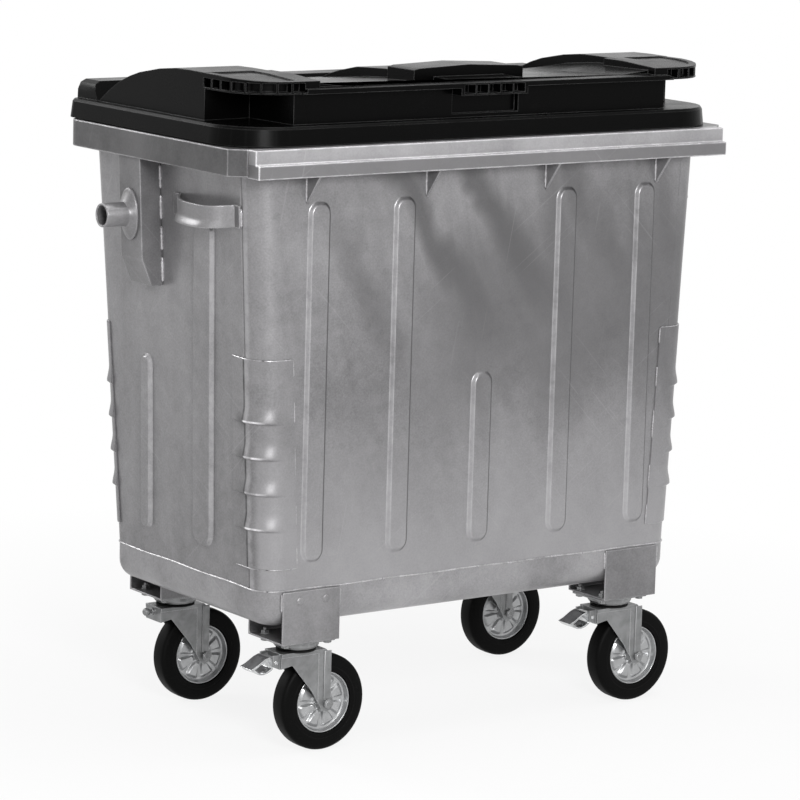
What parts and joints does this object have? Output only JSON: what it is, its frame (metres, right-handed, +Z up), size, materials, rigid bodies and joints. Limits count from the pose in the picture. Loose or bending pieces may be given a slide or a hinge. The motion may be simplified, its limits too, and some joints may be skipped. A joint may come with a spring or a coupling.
{
  "type": "four-wheeled waste container",
  "caption": "Galvanized steel four-wheeled waste container with a hinged black plastic lid, lifting bar, lifting pins and swivel castors.",
  "frame": {"origin": "on the floor, below the middle of the bounding box", "axes": "+Z up; the front with the lifting bar faces -Y and the lid hinges at +Y; +X is to the right seen from the front"},
  "size_m": [1.3416, 0.707, 1.377],
  "materials": {
    "galvanized_sheet": "galvanized, satin",
    "galvanized_plate": "galvanized, satin",
    "zinc_castor": "zinc plated",
    "zinc_disc": "zinc plated, bright",
    "tyre_rubber": "matt",
    "lid_plastic": "satin moulded polyethylene"
  },
  "bodies": {
    "container": {"base_tray": "galvanized_sheet", "castor_bracket_front_left": "galvanized_plate", "castor_bracket_front_right": "galvanized_plate", "castor_bracket_rear_left": "galvanized_plate", "castor_bracket_rear_right": "galvanized_plate", "castor_head_front_left": "zinc_castor", "castor_head_front_right": "zinc_castor", "castor_head_rear_left": "zinc_castor", "castor_head_rear_right": "zinc_castor", "comb_bar": "galvanized_plate", "comb_gusset_inner_left": "galvanized_plate", "comb_gusset_inner_right": "galvanized_plate", "comb_gusset_outer_left": "galvanized_plate", "comb_gusset_outer_right": "galvanized_plate", "corner_guard_front_left": "galvanized_plate", "corner_guard_front_right": "galvanized_plate", "corner_guard_rear_left": "galvanized_plate", "corner_guard_rear_right": "galvanized_plate", "drain_plug": "lid_plastic", "front_wall": "galvanized_sheet", "hinge_bracket_left": "galvanized_plate", "hinge_bracket_right": "galvanized_plate", "hinge_pin_left": "zinc_castor", "hinge_pin_right": "zinc_castor", "rear_wall": "galvanized_sheet", "rim_left": "galvanized_sheet", "rim_rear": "galvanized_sheet", "rim_right": "galvanized_sheet", "side_handle_left": "galvanized_plate", "side_handle_right": "galvanized_plate", "side_wall_left": "galvanized_sheet", "side_wall_right": "galvanized_sheet", "trunnion_bracket_left": "galvanized_plate", "trunnion_bracket_right": "galvanized_plate", "trunnion_pin_left": "galvanized_plate", "trunnion_pin_right": "galvanized_plate"},
    "lid_moulding": {"lid": "lid_plastic"},
    "swivel_front_left": {"castor_fork_front_left": "zinc_castor", "castor_axle_front_left": "zinc_castor"},
    "wheel_front_left": {"tyre_front_left": "tyre_rubber", "wheel_rim_front_left": "zinc_disc"},
    "pedal_front_left": {"brake_pedal_front_left": "zinc_castor"},
    "swivel_front_right": {"castor_fork_front_right": "zinc_castor", "castor_axle_front_right": "zinc_castor"},
    "wheel_front_right": {"tyre_front_right": "tyre_rubber", "wheel_rim_front_right": "zinc_disc"},
    "pedal_front_right": {"brake_pedal_front_right": "zinc_castor"},
    "swivel_rear_left": {"castor_fork_rear_left": "zinc_castor", "castor_axle_rear_left": "zinc_castor"},
    "wheel_rear_left": {"tyre_rear_left": "tyre_rubber", "wheel_rim_rear_left": "zinc_disc"},
    "lock_rear_left": {"direction_lock_rear_left": "zinc_castor"},
    "swivel_rear_right": {"castor_fork_rear_right": "zinc_castor", "castor_axle_rear_right": "zinc_castor"},
    "wheel_rear_right": {"tyre_rear_right": "tyre_rubber", "wheel_rim_rear_right": "zinc_disc"}
  },
  "joints": [
    {"name": "lid_hinge", "type": "hinge", "parent": "container", "child": "lid_moulding", "pos_m": [0, 0.341, 1.299], "axis": [-1, 0, 0], "range_deg": [0, 255]},
    {"name": "swivel_front_left", "type": "hinge", "parent": "container", "child": "swivel_front_left", "pos_m": [-0.403, -0.2473, 0.214], "axis": [0, 0, 1], "continuous": true},
    {"name": "roll_front_left", "type": "hinge", "parent": "swivel_front_left", "child": "wheel_front_left", "pos_m": [-0.346, -0.2473, 0.1], "axis": [0, 1, 0], "continuous": true},
    {"name": "brake_front_left", "type": "hinge", "parent": "swivel_front_left", "child": "pedal_front_left", "pos_m": [-0.466, -0.2473, 0.197], "axis": [0, -1, 0], "range_deg": [0, 18]},
    {"name": "swivel_front_right", "type": "hinge", "parent": "container", "child": "swivel_front_right", "pos_m": [0.403, -0.2473, 0.214], "axis": [0, 0, 1], "continuous": true},
    {"name": "roll_front_right", "type": "hinge", "parent": "swivel_front_right", "child": "wheel_front_right", "pos_m": [0.46, -0.2473, 0.1], "axis": [0, 1, 0], "continuous": true},
    {"name": "brake_front_right", "type": "hinge", "parent": "swivel_front_right", "child": "pedal_front_right", "pos_m": [0.34, -0.2473, 0.197], "axis": [0, -1, 0], "range_deg": [0, 18]},
    {"name": "swivel_rear_left", "type": "hinge", "parent": "container", "child": "swivel_rear_left", "pos_m": [-0.403, 0.2073, 0.214], "axis": [0, 0, 1], "continuous": true},
    {"name": "roll_rear_left", "type": "hinge", "parent": "swivel_rear_left", "child": "wheel_rear_left", "pos_m": [-0.346, 0.2073, 0.1], "axis": [0, 1, 0], "continuous": true},
    {"name": "direction_lock", "type": "slide", "parent": "swivel_rear_left", "child": "lock_rear_left", "axis": [-1, 0, 0], "range_m": [0, 0.01], "stiffness_N_per_m": 300},
    {"name": "swivel_rear_right", "type": "hinge", "parent": "container", "child": "swivel_rear_right", "pos_m": [0.403, 0.2073, 0.214], "axis": [0, 0, 1], "continuous": true},
    {"name": "roll_rear_right", "type": "hinge", "parent": "swivel_rear_right", "child": "wheel_rear_right", "pos_m": [0.46, 0.2073, 0.1], "axis": [0, 1, 0], "continuous": true}
  ]
}
